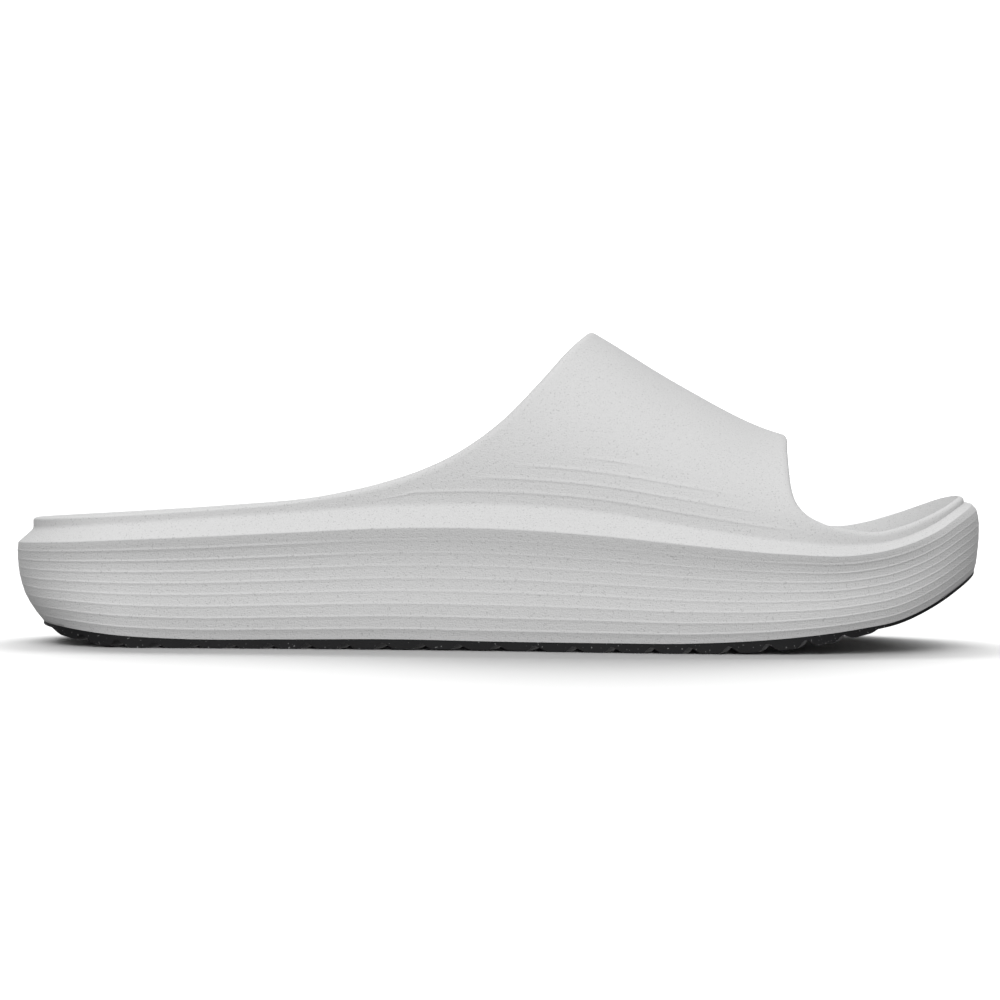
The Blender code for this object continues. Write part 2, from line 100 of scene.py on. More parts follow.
# Front edge of the band, from the rim up to the crown
FRONT = table(
    "x     top",
    (99.5, 35.7),
    (95.2, 36.6),
    (91.9, 37.9),
    (88.7, 39.7),
    (86.8, 41.6),
    (85.5, 43.7),
    (84.8, 46.2),
    (84.5, 49.4),
    (84.7, 53.8),
    (85.4, 58.8),
)
FRONT_X = 87.0
FRONT_END_X = 104.0

# Top of the raised rim round the toes
TOE_RIM = table(
    "x      top",
    (98.0,  36.0),
    (104.0, 35.0),
    (107.0, 34.7),
    (110.0, 34.7),
    (113.5, 35.2),
    (118.0, 36.2),
    (123.5, 37.9),
    (129.0, 39.9),
    (134.0, 42.0),
    (138.6, 44.0),
    (142.0, 45.2),
)

# Round the toes the rim's crest lies further out, and the wall slopes in from it to the floor
TOE_FORM_X = 96.0
TOE_BLEND = 18.0
TOE_CREST = 0.8
TOE_STRAIGHT = 0.8
TOE_SLOPE = 5.5
TOE_LEAN = 0.55
TOE_SHARE = 0.4

# How far the side wall lies in from the plan, by its share of the way down
SIDEWALL = table(
    "share heel side toe",
    (0.00, 0.3, 0.0, 2.3),
    (0.10, 0.1, 0.7, 1.0),
    (0.25, 0.2, 1.3, 0.2),
    (0.50, 1.0, 1.1, 0.0),
    (0.75, 3.2, 0.5, 0.4),
    (0.90, 5.8, 0.9, 0.8),
    (1.00, 8.0, 1.6, 1.3),
)
ENDS = ("heel", "side", "toe")
RIB_COUNT = 8
RIB_FIRST = 0.112
RIB_PITCH = 0.1135
RIB_STEP = 0.02
RIB_RELIEF = 0.17
RIB_CALM = 0.65

# The higher ribs are fainter between these places along the slide
RIB_FADE = 0.75
RIB_FADE_FROM = -70.0
RIB_FADE_TO = 110.0
RIB_FADE_BLEND = 45.0

# Each rib of the side wall: share of its height, and share of the relief reached there
RIB_PROFILE = ((0.07, 0.0), (0.74, 0.0), (0.82, 0.1), (0.93, 0.85), (0.98, 1.0), (1.02, 0.95))

# Laps that follow the crease over the flanks of the band, each fading out at its ends
LAPS = table(
    "height squeeze start end",
    (3.7,   0.40,   -38,  88),
    (7.6,   0.55,   -11,  78),
    (11.5,  0.68,   2,    70),
    (15.2,  0.80,   19,   48),
)
LAP_FADE = 14.0
LAP_PASSES = 5

# Each lap of the band: height from its lip as a share of the lap spacing, and share of the relief
LAP_SPACING = 3.9
LAP_RELIEF = 0.16
LAP_PROFILE = (
    (-0.20, 0.0),
    (-0.12, 0.0),
    (-0.03, 0.9),
    (0.01, 1.0),
    (0.06, 0.85),
    (0.18, 0.15),
    (0.25, 0.0),
    (0.33, 0.0),
)

# Insets from the plan at the heel, the sides and the toe
LEDGE = np.array((4.7, 5.0, 4.6))
WALL = 5.0
DRAFT = 1.2
FLOOR = LEDGE + WALL + DRAFT
ROUND = 2.0
EDGE_ROUND = 2.2
HEEL_EDGE = 0.3
TOE_EDGE = 0.8
EDGE_SQUARE = 0.88
FRONT_CRISP = 0.28
INSTEP_LEAN = 5.0
INSTEP_RISE = 57.0
RIM_BLEND = 26.0

# Rounding of the rim edge and of the crease above the ledge
LIP_ROUND = 0.35
CREASE_ROUND = 0.8
CREASE_SHARE = 0.38

# Insole pad and outsole
FIT_GAP = 0.3
PAD_LIFT = 0.35
PAD_THICK = 4.0
PAD_EDGE = 1.6
OUTSOLE_INSET = 0.1
SOLE_GAP = 0.05
SLAB_THICK = 0.95
LUG_COUNT = 22
LUG_FIRST_X = -125.8
LUG_PITCH = 10.95
WAVE_DEPTH = 2.8
WAVE_CRESTS = 1.25
WAVE_FADE = 16.0

# Each lug from heel side to toe side: place from its middle, and share of its height
LUG = table(
    "place share",
    (-5.4, 0),
    (-1.4, 1),
    (2.6,  1),
    (4.6,  0),
)

# Fineness of the meshes
HEEL_COLUMNS = 36
SIDE_COLUMNS = 200
TOE_COLUMNS = 60
CROWN_BASE = (34.0, 56.0)
UPPER_ROWS = 22
INNER_ROWS = 14
EDGE_ROWS = 9
ROUND_ROWS = 5
FLOOR_CELLS = 4
BOTTOM_CELLS = 2
PAD_ROWS = 6
PAD_CELLS = 32
TREAD_CELLS = 48
TREAD_PITCH = 0.6
PATH_STEPS = 1200
SAME = 1e-6
SHARP = math.radians(55)


def smooth(x, xs, ys):
    """Cubic curve through a table's rows, its slope at each row taken from the neighbours."""
    x = np.clip(x, xs[0], xs[-1])
    slope = np.gradient(ys, xs)
    k = np.clip(np.searchsorted(xs, x) - 1, 0, len(xs) - 2)
    width = xs[k + 1] - xs[k]
    t = (x - xs[k]) / width
    rise = ys[k] * (1 + 2 * t) * (1 - t) ** 2 + ys[k + 1] * t * t * (3 - 2 * t)
    return rise + width * (slope[k] * t * (1 - t) ** 2 - slope[k + 1] * t * t * (1 - t))


def section(name, x):
    """A column of the sections table at any x."""
    return smooth(x, SECTIONS["x"], SECTIONS[name])


def step(x):
    """Smooth rise from 0 to 1."""
    x = np.clip(x, 0, 1)
    return x * x * (3 - 2 * x)


def plan_columns():
    """Base x, share along and share across of each column of one side, heel tip to toe tip."""
    heel = np.linspace(0, math.pi / 2, HEEL_COLUMNS, endpoint=False)
    sides = np.linspace(HEEL_X, TOE_X, SIDE_COLUMNS, endpoint=False)
    toe = np.linspace(math.pi / 2, 0, TOE_COLUMNS + 1)
    base = np.concatenate([0 * heel + HEEL_X, sides, 0 * toe + TOE_X])
    along = np.concatenate([-np.cos(heel), 0 * sides, np.cos(toe)])
    across = np.concatenate([np.sin(heel), 0 * sides + 1, np.sin(toe)])
    return base, along, across


BASE_X, ALONG, ACROSS = plan_columns()
LAST = len(BASE_X) - 1


def plan(inset):
    """x and half width of each column of the plan, drawn in at heel, sides and toe."""
    heel, side, toe = inset
    reach = np.where(ALONG < 0, HEEL_REACH - heel, TOE_REACH - toe)
    return BASE_X + ALONG * reach, ACROSS * (section("half", BASE_X) - side)


def toe_form():
    """How far each column has the form of the rim round the toes, from 0 to 1."""
    return step((plan(LEDGE)[0] - TOE_FORM_X) / TOE_BLEND)


def floor_plan(inset, lift):
    """Plan of the foam floor, drawn in further where the wall above it slopes."""
    heel, side, toe = FLOOR + inset
    slope = TOE_SLOPE - TOE_LEAN * lift
    return plan((heel, side + slope * toe_form(), toe + slope))


def half_at(x, inset):
    """Half width of the drawn-in plan at any x."""
    heel, side, toe = inset
    past_heel = np.clip((HEEL_X - x) / (HEEL_REACH - heel), 0, 1)
    past_toe = np.clip((x - TOE_X) / (TOE_REACH - toe), 0, 1)
    ends = np.sqrt((1 - past_heel**2) * (1 - past_toe**2))
    return (section("half", np.clip(x, HEEL_X, TOE_X)) - side) * ends


def column_at(x):
    """The column whose foot on the ledge lies nearest to x."""
    return int(np.argmin(np.abs(plan(LEDGE)[0] - x)))


RIM_END = column_at(COLLAR_START_X)
CROWN_START = column_at(CROWN_BASE[0])
CROWN_END = column_at(CROWN_BASE[1])
RIM_START = column_at(FRONT_END_X)


def floor_z(x, y):
    """Height of the foam under the pad: cupped, and raised at the arch on the inner side."""
    heel, side, toe = FLOOR
    past_heel = np.maximum(HEEL_X - x, 0) / (HEEL_REACH - heel)
    past_toe = np.maximum(x - TOE_X, 0) / (TOE_REACH - toe)
    across = (y - section("centre", x)) / (section("half", np.clip(x, HEEL_X, TOE_X)) - side)
    outward = np.minimum(past_heel**2 + past_toe**2 + across**2, 1)
    return section("floor", x) + section("cup", x) * outward + section("arch", x) * step(across)


def shell(x, angle):
    """Outer wall of band and rim: an arch over each section, as (x, half width, z)."""
    crease = section("crease", x)
    half = half_at(x, LEDGE) * np.cos(angle) ** (2 / ROUND)
    z = crease + (section("crown", x) - crease) * np.sin(angle) ** (2 / ROUND)
    return np.stack([x, half, z], axis=-1)


def shell_angle(x, z):
    """The angle at which that arch reaches a height."""
    crease = section("crease", x)
    share = np.clip((z - crease) / (section("crown", x) - crease), 0, 1)
    return np.arcsin(share ** (ROUND / 2))


def instep_lean(x, z):
    """How far the arch leans to the inner side, where the instep is highest."""
    return INSTEP_LEAN * step((z - section("crease", x)) / INSTEP_RISE)


def unit(vectors):
    """The same directions with length 1."""
    return vectors / np.linalg.norm(vectors, axis=-1, keepdims=True)


def shell_normal(x, angle):
    """Outward direction of the outer wall. The rims round heel and toe stand upright."""
    near = 1e-3
    inside = np.clip(angle, 2 * near, math.pi / 2 - 2 * near)
    run = shell(x + near, inside) - shell(x - near, inside)
    rise = shell(x, inside + near) - shell(x, inside - near)
    normal = np.cross(rise, run)
    normal[angle > math.pi / 2 - near, 1] = 0
    upright = np.stack([ALONG, ACROSS, 0 * ALONG], axis=-1)
    base_x = plan(LEDGE)[0]
    from_rims = np.minimum(base_x - base_x[RIM_END], base_x[RIM_START] - base_x)
    band = step(from_rims / RIM_BLEND)[:, None]
    return unit(upright + (unit(normal) - upright) * band)


def evenly(x, angle, count):
    """The same path over the outer wall in equal steps."""
    points = shell(x, angle)
    run = np.append(0, np.cumsum(np.linalg.norm(np.diff(points, axis=0), axis=1)))
    marks = np.linspace(0, run[-1], count + 1)
    return np.interp(marks, run, x), np.interp(marks, run, angle)


def top_path():
    """x and angle at the top of each column: rim, rear edge, crown, front edge and toe rim."""
    top_x = plan(LEDGE)[0]
    top_z = np.where(top_x < TOE_X, smooth(top_x, COLLAR["x"], COLLAR["top"]), 0)
    toe_z = smooth(top_x, TOE_RIM["x"], TOE_RIM["top"])
    angle = shell_angle(top_x, np.where(top_x < TOE_X, top_z, toe_z))

    share = np.linspace(0, 1, PATH_STEPS)
    apex_z = section("crown", APEX_X)
    rear_x = top_x[RIM_END] + (APEX_X - top_x[RIM_END]) * (1 - (1 - share) ** 2)
    rear_z = smooth(rear_x, np.append(COLLAR["x"], APEX_X), np.append(COLLAR["top"], apex_z))
    rear_angle = shell_angle(rear_x, rear_z)
    rear_angle[-1] = math.pi / 2
    rear = slice(RIM_END, CROWN_START + 1)
    top_x[rear], angle[rear] = evenly(rear_x, rear_angle, CROWN_START - RIM_END)

    front_top = section("crown", FRONT_X)
    places = np.concatenate([[top_x[RIM_START]], FRONT["x"], [FRONT_X]])
    heights = np.concatenate([[toe_z[RIM_START]], FRONT["top"], [front_top]])
    run = np.append(0, np.cumsum(np.hypot(np.diff(places), np.diff(heights))))
    marks = run[-1] * (1 - share**2)
    front_x = smooth(marks, run, places)
    front_z = np.minimum(smooth(marks, run, heights), section("crown", front_x))
    front_angle = shell_angle(front_x, front_z)
    front_angle[0] = math.pi / 2
    front = slice(CROWN_END, RIM_START + 1)
    top_x[front], angle[front] = evenly(front_x, front_angle, RIM_START - CROWN_END)

    crown = slice(CROWN_START, CROWN_END + 1)
    top_x[crown] = np.linspace(APEX_X, FRONT_X, CROWN_END - CROWN_START + 1)
    angle[crown] = math.pi / 2
    return top_x, angle


def edge_directions(tops, normals):
    """Way out of the wall at its open edges, square to the edge and along the wall."""
    out = np.zeros_like(tops)
    mirror = np.array((1, -1, 1))
    for first, last in ((0, CROWN_START), (CROWN_END, LAST)):
        loop = tops[first : last + 1]
        around = np.concatenate([loop[1:2] * mirror, loop, loop[-2:-1] * mirror])
        along = unit(around[2:] - around[:-2])
        out[first : last + 1] = unit(np.cross(along, normals[first : last + 1]))
    return out


def rib_relief(k):
    """Relief of one rib along the slide: less round heel and toe, and least high under the band."""
    x = plan(LEDGE)[0]
    under_band = step((x - RIB_FADE_FROM) / RIB_FADE_BLEND) * step((RIB_FADE_TO - x) / RIB_FADE_BLEND)
    faint = RIB_FADE * (1 - k / (RIB_COUNT - 1)) * under_band
    return RIB_RELIEF * (1 - RIB_CALM * ALONG**2) * (1 - faint)


def sidewall_row(share, relief):
    """One row of the side wall, at a share of the way from rim edge to foam bottom."""
    x, half = plan([smooth(share, SIDEWALL["share"], SIDEWALL[end]) - relief for end in ENDS])
    edge = section("edge", x)
    return np.stack([x, half, edge + share * (section("bottom", x) - edge)], axis=-1)


def sidewall_rows():
    """Rows from rim edge to foam bottom: each rib rises to its lip, then steps back in."""
    rows = [(0.0, 0.0)]
    start = 0.0
    for k in range(RIB_COUNT):
        lip = RIB_FIRST + k * RIB_PITCH
        for share, relief in RIB_PROFILE:
            rows.append((start + (lip - start) * share, rib_relief(k) * relief))
        start = lip + RIB_STEP
        rows.append((start, 0.0))
    rows.append(((1.0 + start) / 2, 0.0))
    rows.append((1.0, 0.0))
    return [sidewall_row(share, relief) for share, relief in rows]


def rounded(before, corner, after, reach):
    """Rows that round a corner between two rows, from as far before it as after it."""
    back = before - corner
    on = after - corner
    back_length = np.linalg.norm(back, axis=-1, keepdims=True)
    on_length = np.linalg.norm(on, axis=-1, keepdims=True)
    start = corner + back * np.minimum(reach / back_length, 1)
    end = corner + on * np.minimum(reach / on_length, 1)
    rows = []
    for t in np.linspace(0, 1, ROUND_ROWS):
        rows.append(start * (1 - t) ** 2 + corner * 2 * t * (1 - t) + end * t * t)
    return rows


def lap_fade(lap, x):
    """Share of a lap's relief at any x: full in its middle, none at its ends."""
    start = LAPS["start"][lap]
    end = LAPS["end"][lap]
    return step((x - start) / LAP_FADE) * step((end - x) / LAP_FADE)


def wall_rows():
    """Outer wall from crease to top, its rounded edge, and the inner wall below that edge."""
    base_x = plan(LEDGE)[0]
    top_x, top_angle = top_path()
    tops = shell(top_x, top_angle)
    out = edge_directions(tops, shell_normal(top_x, top_angle))
    column = np.arange(LAST + 1)
    crown = (column >= CROWN_START) & (column <= CROWN_END)
    open_edge = (column <= CROWN_START) | (column >= CROWN_END)
    rise = tops[:, 2] - section("crease", top_x)
    rear = column <= CROWN_START
    edge_share = np.where(rear, HEEL_EDGE, TOE_EDGE)
    round_off = np.where(open_edge, np.minimum(EDGE_ROUND, edge_share * rise), 0)[:, None]
    ends = tops - round_off * out
    end_x = ends[:, 0]
    end_angle = np.where(crown, math.pi / 2, shell_angle(end_x, ends[:, 2]))
    wall_height = ends[:, 2] - section("crease", end_x)

    def at(share):
        return base_x + (end_x - base_x) * share, end_angle * share

    def wall(share):
        """Points of the outer wall at a share of the way up each column."""
        return shell(*at(share))

    def share_at(height, guess):
        """How far up its column a height above the crease lies."""
        share = guess
        for _ in range(LAP_PASSES):
            x = at(share)[0]
            share = shell_angle(x, section("crease", x) + height) / end_angle
        return share

    crease_reach = np.minimum(CREASE_ROUND, CREASE_SHARE * wall_height)
    share = share_at(crease_reach, 0 * base_x)
    outer = [wall(share)]
    for lap, (height, squeeze) in enumerate(zip(LAPS["height"], LAPS["squeeze"])):
        lip_height = np.minimum(height, squeeze * wall_height)
        for offset, relief in LAP_PROFILE:
            row_height = lip_height * (1 + offset * LAP_SPACING / height)
            share = np.maximum(share_at(row_height, share), share + SAME)
            points = wall(share)
            points[:, 1] += LAP_RELIEF * relief * lap_fade(lap, points[:, 0])
            outer.append(points)
    for k in range(1, UPPER_ROWS):
        outer.append(wall(share + (1 - share) * k / UPPER_ROWS))
    last = wall(1 + 0 * base_x)
    outer.append(last)

    normal = shell_normal(end_x, end_angle)
    toe = toe_form()[:, None]
    foot = last - (WALL / 2 - TOE_CREST * toe) * normal
    crest = foot + round_off * out
    floor_x, floor_half = floor_plan(0.0, 0.0)
    floor_level = floor_z(floor_x, section("centre", floor_x) + floor_half)
    floor_row = np.stack([floor_x, floor_half, floor_level], axis=-1)

    def sloped(points, share):
        """Points of the inner wall, round the toes on the slope from crest to floor."""
        return points + (crest + (floor_row - crest) * share - points) * toe

    crisp = np.where(rear, 0, FRONT_CRISP * step((FRONT_END_X - top_x) / TOE_BLEND))
    outer_square = (EDGE_SQUARE - crisp)[:, None]
    inner_square = outer_square + TOE_STRAIGHT * toe
    inner = [sloped(last - WALL * normal, TOE_SHARE)]
    edge = []
    for turn in np.linspace(0, math.pi, EDGE_ROWS + 2)[1:-1]:
        outside = turn < math.pi / 2
        square = outer_square if outside else inner_square
        side = last if outside else inner[0]
        lean = abs(round(math.cos(turn), 9)) ** square
        edge.append(foot + (side - foot) * lean + round_off * math.sin(turn) ** square * out)

    for k in range(1, INNER_ROWS + 1):
        x, angle = at(0 * base_x + 1 - k / INNER_ROWS)
        share = TOE_SHARE + (1 - TOE_SHARE) * k / (INNER_ROWS + 1)
        inner.append(sloped(shell(x, angle) - WALL * shell_normal(x, angle), share))
    return outer, edge, inner


class Builder:
    """Collects a closed mesh whose two sides share every point on the centre line."""

    def __init__(self):
        self.points = []
        self.faces = []

    def add(self, x, y, z):
        self.points.append((x * MM, y * MM, z * MM))
        return len(self.points) - 1

    def row(self, points, columns=range(LAST + 1), before=None):
        """Adds one row on both sides of the centre line. Points with no width are shared,
        and so are points where the row before already is."""
        middle = section("centre", points[:, 0]) + instep_lean(points[:, 0], points[:, 2])
        same = np.zeros(LAST + 1, bool)
        if before is not None:
            same = np.abs(points - before[0]).max(axis=1) < SAME
        sides = [{}, {}]
        for k in columns:
            if same[k]:
                sides[0][k] = before[1][0][k]
                sides[1][k] = before[1][1][k]
                continue
            x, half, z = points[k]
            sides[0][k] = self.add(x, middle[k] - half, z)
            wide = abs(half) > SAME
            sides[1][k] = self.add(x, middle[k] + half, z) if wide else sides[0][k]
        return sides

    def rows(self, sheets):
        """Adds rows one after another, and the faces between them."""
        made = [self.row(sheets[0])]
        for points, earlier in zip(sheets[1:], sheets):
            made.append(self.row(points, before=(earlier, made[-1])))
            self.strip(made[-2], made[-1])
        return made

    def pad_row(self, inset, lift):
        """Adds a row along the foam floor, drawn in from its plan and lifted."""
        x, half = floor_plan(inset, lift)
        row = [{}, {}]
        for k in range(LAST + 1):
            for side, sign in ((0, -1), (1, 1)):
                y = section("centre", x[k]) + sign * half[k]
                single = side == 1 and half[k] < SAME
                z = floor_z(x[k], y) + lift
                row[side][k] = row[0][k] if single else self.add(x[k], y, z)
        return row

    def strip(self, lower, upper, first=0, last=LAST):
        """Faces between two rows, along the columns given."""
        for side in (0, 1):
            for k in range(first, last):
                self.face(lower[side][k], lower[side][k + 1], upper[side][k + 1], upper[side][k])

    def face(self, *corners):
        corners = [c for i, c in enumerate(corners) if c != corners[i - 1]]
        if len(corners) > 2:
            self.faces.append(corners)

    def fill(self, row, cells, height):
        """Spans a row from side to side with a surface of the given height."""
        lines = []
        for k in range(LAST + 1):
            start = self.points[row[0][k]]
            end = self.points[row[1][k]]
            line = [row[0][k]]
            for cell in range(1, cells):
                x = start[0] / MM
                y = (start[1] + (end[1] - start[1]) * cell / cells) / MM
                single = row[0][k] == row[1][k]
                line.append(row[0][k] if single else self.add(x, y, height(x, y)))
            lines.append(line + [row[1][k]])
        for near, far in zip(lines, lines[1:]):
            for cell in range(cells):
                self.face(near[cell], near[cell + 1], far[cell + 1], far[cell])

    def make(self, name, material, node):
        """The finished piece: it rides on the one body and stands for its CAD node."""
        mesh = bpy.data.meshes.new(name)
        mesh.from_pydata(self.points, [], self.faces)
        shape = bmesh.new()
        shape.from_mesh(mesh)
        bmesh.ops.recalc_face_normals(shape, faces=shape.faces)
        shape.to_mesh(mesh)
        shape.free()
        mesh.shade_smooth()
        mesh.set_sharp_from_angle(angle=SHARP)
        mesh.materials.append(material)
        made = bpy.data.objects.new(name, mesh)
        bpy.context.scene.collection.objects.link(made)
        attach(made, "root")
        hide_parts(node)
        return made


def foam_body(material):
    """Midsole, rim and band moulded whole, open at heel and toes and hollow under the band."""
    build = Builder()
    outer, edge, inner = wall_rows()
    side = sidewall_rows()
    crease = shell(plan(LEDGE)[0], 0 * BASE_X)
    lip = rounded(side[1], side[0], crease, LIP_ROUND)
    reach = np.linalg.norm(outer[0] - crease, axis=-1, keepdims=True)
    fillet = rounded(side[0], crease, outer[0], reach)
    rows = build.rows(side[:0:-1] + lip + fillet[:-1] + outer)
    inner_rows = build.rows(inner)
    for first, last in ((0, CROWN_START), (CROWN_END, LAST)):
        ring = [build.row(points, range(first, last + 1)) for points in edge]
        for lower, upper in zip([rows[-1]] + ring, ring + [inner_rows[0]]):
            build.strip(lower, upper, first, last)
    floor_row = build.pad_row(0.0, 0.0)
    build.strip(inner_rows[-1], floor_row)
    build.fill(floor_row, FLOOR_CELLS, floor_z)
    build.fill(rows[0], BOTTOM_CELLS, lambda x, y: section("bottom", x))
    return build.make("foam_slide", material, "upper_and_midsole")


def insole(material):
    """Pad on the foam floor, from wall to wall, with a rounded top edge."""
    build = Builder()
    rows = [build.pad_row(FIT_GAP, PAD_LIFT)]
    for turn in np.linspace(0, math.pi / 2, PAD_ROWS):
        inset = FIT_GAP + PAD_EDGE * (1 - math.cos(turn))
        rows.append(build.pad_row(inset, PAD_LIFT + PAD_THICK - PAD_EDGE * (1 - math.sin(turn))))
    for lower, upper in zip(rows, rows[1:]):
        build.strip(lower, upper)
    build.fill(rows[0], FLOOR_CELLS, lambda x, y: floor_z(x, y) + PAD_LIFT)
    build.fill(rows[-1], PAD_CELLS, lambda x, y: floor_z(x, y) + PAD_LIFT + PAD_THICK)
    return build.make("insole_pad", material, "insole")


def lug_share(x):
    """Share of a lug's full height at a place along the sole, its flanks rounded."""
    nearest = min(max(round((x - LUG_FIRST_X) / LUG_PITCH), 0), LUG_COUNT - 1)
    place = x - LUG_FIRST_X - nearest * LUG_PITCH
    return math.sin(math.pi / 2 * np.interp(place, LUG["place"], LUG["share"]))


def outsole(material):
    """Rubber sheet under the foam, turned up at heel and toe, with rows of waved lugs."""
    build = Builder()
    inset = np.array([SIDEWALL[end][-1] for end in ENDS]) + OUTSOLE_INSET
    heel_tip = HEEL_X - HEEL_REACH + inset[0]
    toe_tip = TOE_X + TOE_REACH - inset[2]
    shares = np.sin(np.linspace(-math.pi / 2, math.pi / 2, TREAD_CELLS + 1))
    count = round((toe_tip - heel_tip) / TREAD_PITCH)
    below = []
    above = []
    for place in (1 - np.cos(np.linspace(0, math.pi, count))) / 2:
        x = heel_tip + (toe_tip - heel_tip) * place
        tip = place in (0, 1)
        calm = step((x - heel_tip) / WAVE_FADE) * step((toe_tip - x) / WAVE_FADE)
        low = []
        high = []
        for share in shares:
            at = x + WAVE_DEPTH * calm * math.cos(2 * math.pi * WAVE_CRESTS * share)
            y = section("centre", at) + share * half_at(at, inset)
            top = section("bottom", at) - SOLE_GAP
            root = top - SLAB_THICK
            bottom = root + lug_share(x) * min(0, max(section("tread", at), 0) - root)
            if tip and low:
                low.append(low[0])
                high.append(high[0])
                continue
            low.append(build.add(at, y, bottom))
            high.append(build.add(at, y, top))
        below.append(low)
        above.append(high)
    for sheet in (below, above):
        for near, far in zip(sheet, sheet[1:]):
            for cell in range(TREAD_CELLS):
                build.face(near[cell], near[cell + 1], far[cell + 1], far[cell])
    for low, low_next, high, high_next in zip(below, below[1:], above, above[1:]):
        for side in (0, -1):
            build.face(low[side], low_next[side], high_next[side], high[side])
    return build.make("rubber_outsole", material, "outsole")


class Shader:
    """A Principled material with helpers for its nodes. Places are in metres of the frame."""

    def __init__(self, name, roughness, specular):
        self.material = bpy.data.materials.new(name)
        self.material.use_nodes = True
        self.nodes = self.material.node_tree.nodes
        self.links = self.material.node_tree.links
        self.surface = self.nodes["Principled BSDF"]
        self.surface.inputs["Metallic"].default_value = 0
        self.surface.inputs["Roughness"].default_value = roughness
        self.surface.inputs["Specular IOR Level"].default_value = specular
        self.place = self.nodes.new("ShaderNodeTexCoord").outputs["Object"]

    def noise(self, size_mm, detail=2.0, stretch=(1, 1, 1)):
        """Noise with grains of about that size, drawn out along the axes given."""
        mapping = self.nodes.new("ShaderNodeMapping")
        mapping.inputs["Scale"].default_value = [1 / (size_mm * MM * s) for s in stretch]
        self.links.new(self.place, mapping.inputs["Vector"])
        noise = self.nodes.new("ShaderNodeTexNoise")
        noise.inputs["Scale"].default_value = 1
        noise.inputs["Detail"].default_value = detail
        self.links.new(mapping.outputs["Vector"], noise.inputs["Vector"])
        return noise.outputs["Fac"]

    def ramp(self, value, low, high):
        """Spreads the range from low to high over 0 to 1."""
        node = self.nodes.new("ShaderNodeMapRange")
        node.inputs["From Min"].default_value = low
        node.inputs["From Max"].default_value = high
        self.links.new(value, node.inputs["Value"])
        return node.outputs["Result"]

    def mix(self, share, first, second):
        """Colour between two, each a colour or another node's output."""
        node = self.nodes.new("ShaderNodeMix")
        node.data_type = "RGBA"
        self.links.new(share, node.inputs["Factor"])
        colour_sockets = [s for s in node.inputs if s.type == "RGBA"]
        for colour, socket in zip((first, second), colour_sockets):
            if isinstance(colour, tuple):
                socket.default_value = (*colour, 1)
            else:
                self.links.new(colour, socket)
        return [s for s in node.outputs if s.type == "RGBA"][0]

    def bump(self, heights):
        """Stacks bumps, each a height output with its depth in millimetres."""
        normal = None
        for height, depth_mm in heights:
            node = self.nodes.new("ShaderNodeBump")
            node.inputs["Strength"].default_value = 1
            node.inputs["Distance"].default_value = depth_mm * MM
            self.links.new(height, node.inputs["Height"])
            if normal is not None:
                self.links.new(normal, node.inputs["Normal"])
            normal = node.outputs["Normal"]
        self.links.new(normal, self.surface.inputs["Normal"])

    def colour(self, output):
        self.links.new(output, self.surface.inputs["Base Color"])

    def roughness(self, value, low, high):
        """Roughness that follows a value from 0 to 1."""
        node = self.nodes.new("ShaderNodeMapRange")
        node.inputs["To Min"].default_value = low
        node.inputs["To Max"].default_value = high
        self.links.new(value, node.inputs["Value"])
        self.links.new(node.outputs["Result"], self.surface.inputs["Roughness"])


def foam_finish():
    """Matt light grey foam with a pebble grain, faint streaks and dark specks."""
    shader = Shader("moulded_foam", 0.62, 0.35)
    grain = shader.noise(0.42)
    streaks = shader.noise(0.4, 1.0, (6, 6, 0.8))
    tone = shader.noise(0.5, 3.0)
    specks = shader.ramp(shader.noise(0.45, 0.0), 0.32, 0.24)
    even = shader.mix(tone, (0.575, 0.575, 0.575), (0.68, 0.68, 0.68))
    shader.colour(shader.mix(specks, even, (0.50, 0.50, 0.50)))
    shader.roughness(grain, 0.55, 0.72)
    shader.bump(((streaks, 0.06), (grain, 0.12)))
    return shader.material


def pad_finish():
    """The softer foam of the footbed, a little greyer, with a finer and deeper grain."""
    shader = Shader("insole_foam", 0.75, 0.3)
    grain = shader.noise(0.9, 1.0)
    cloud = shader.noise(12, 3.0)
    shader.colour(shader.mix(cloud, (0.55, 0.55, 0.555), (0.61, 0.61, 0.615)))
    shader.roughness(grain, 0.68, 0.85)
    shader.bump(((grain, 0.14),))
    return shader.material


def rubber_finish():
    """Black rubber, matt, with pale flecks and a dull bloom."""
    shader = Shader("black_rubber", 0.6, 0.2)
    grain = shader.noise(0.4)
    bloom = shader.noise(6, 3.0)
    flecks = shader.ramp(shader.noise(0.6, 0.0), 0.77, 0.83)
    even = shader.mix(bloom, (0.006, 0.006, 0.0065), (0.013, 0.013, 0.014))
    shader.colour(shader.mix(flecks, even, (0.16, 0.16, 0.16)))
    shader.roughness(grain, 0.5, 0.7)
    shader.bump(((grain, 0.06),))
    return shader.material


# Camera: the photo is PHOTO_WIDTH wide at the slide's centre line
PHOTO_WIDTH = 302.1
PHOTO_CENTRE_X = 0.6
PHOTO_CENTRE_Z = 42.8
PHOTO_ROLL = math.radians(0.33)
CAMERA_RISE = math.radians(0.65)
CAMERA_DISTANCE = 850.0
SENSOR = 36.0
CAMERA_SIGHT = 100.0


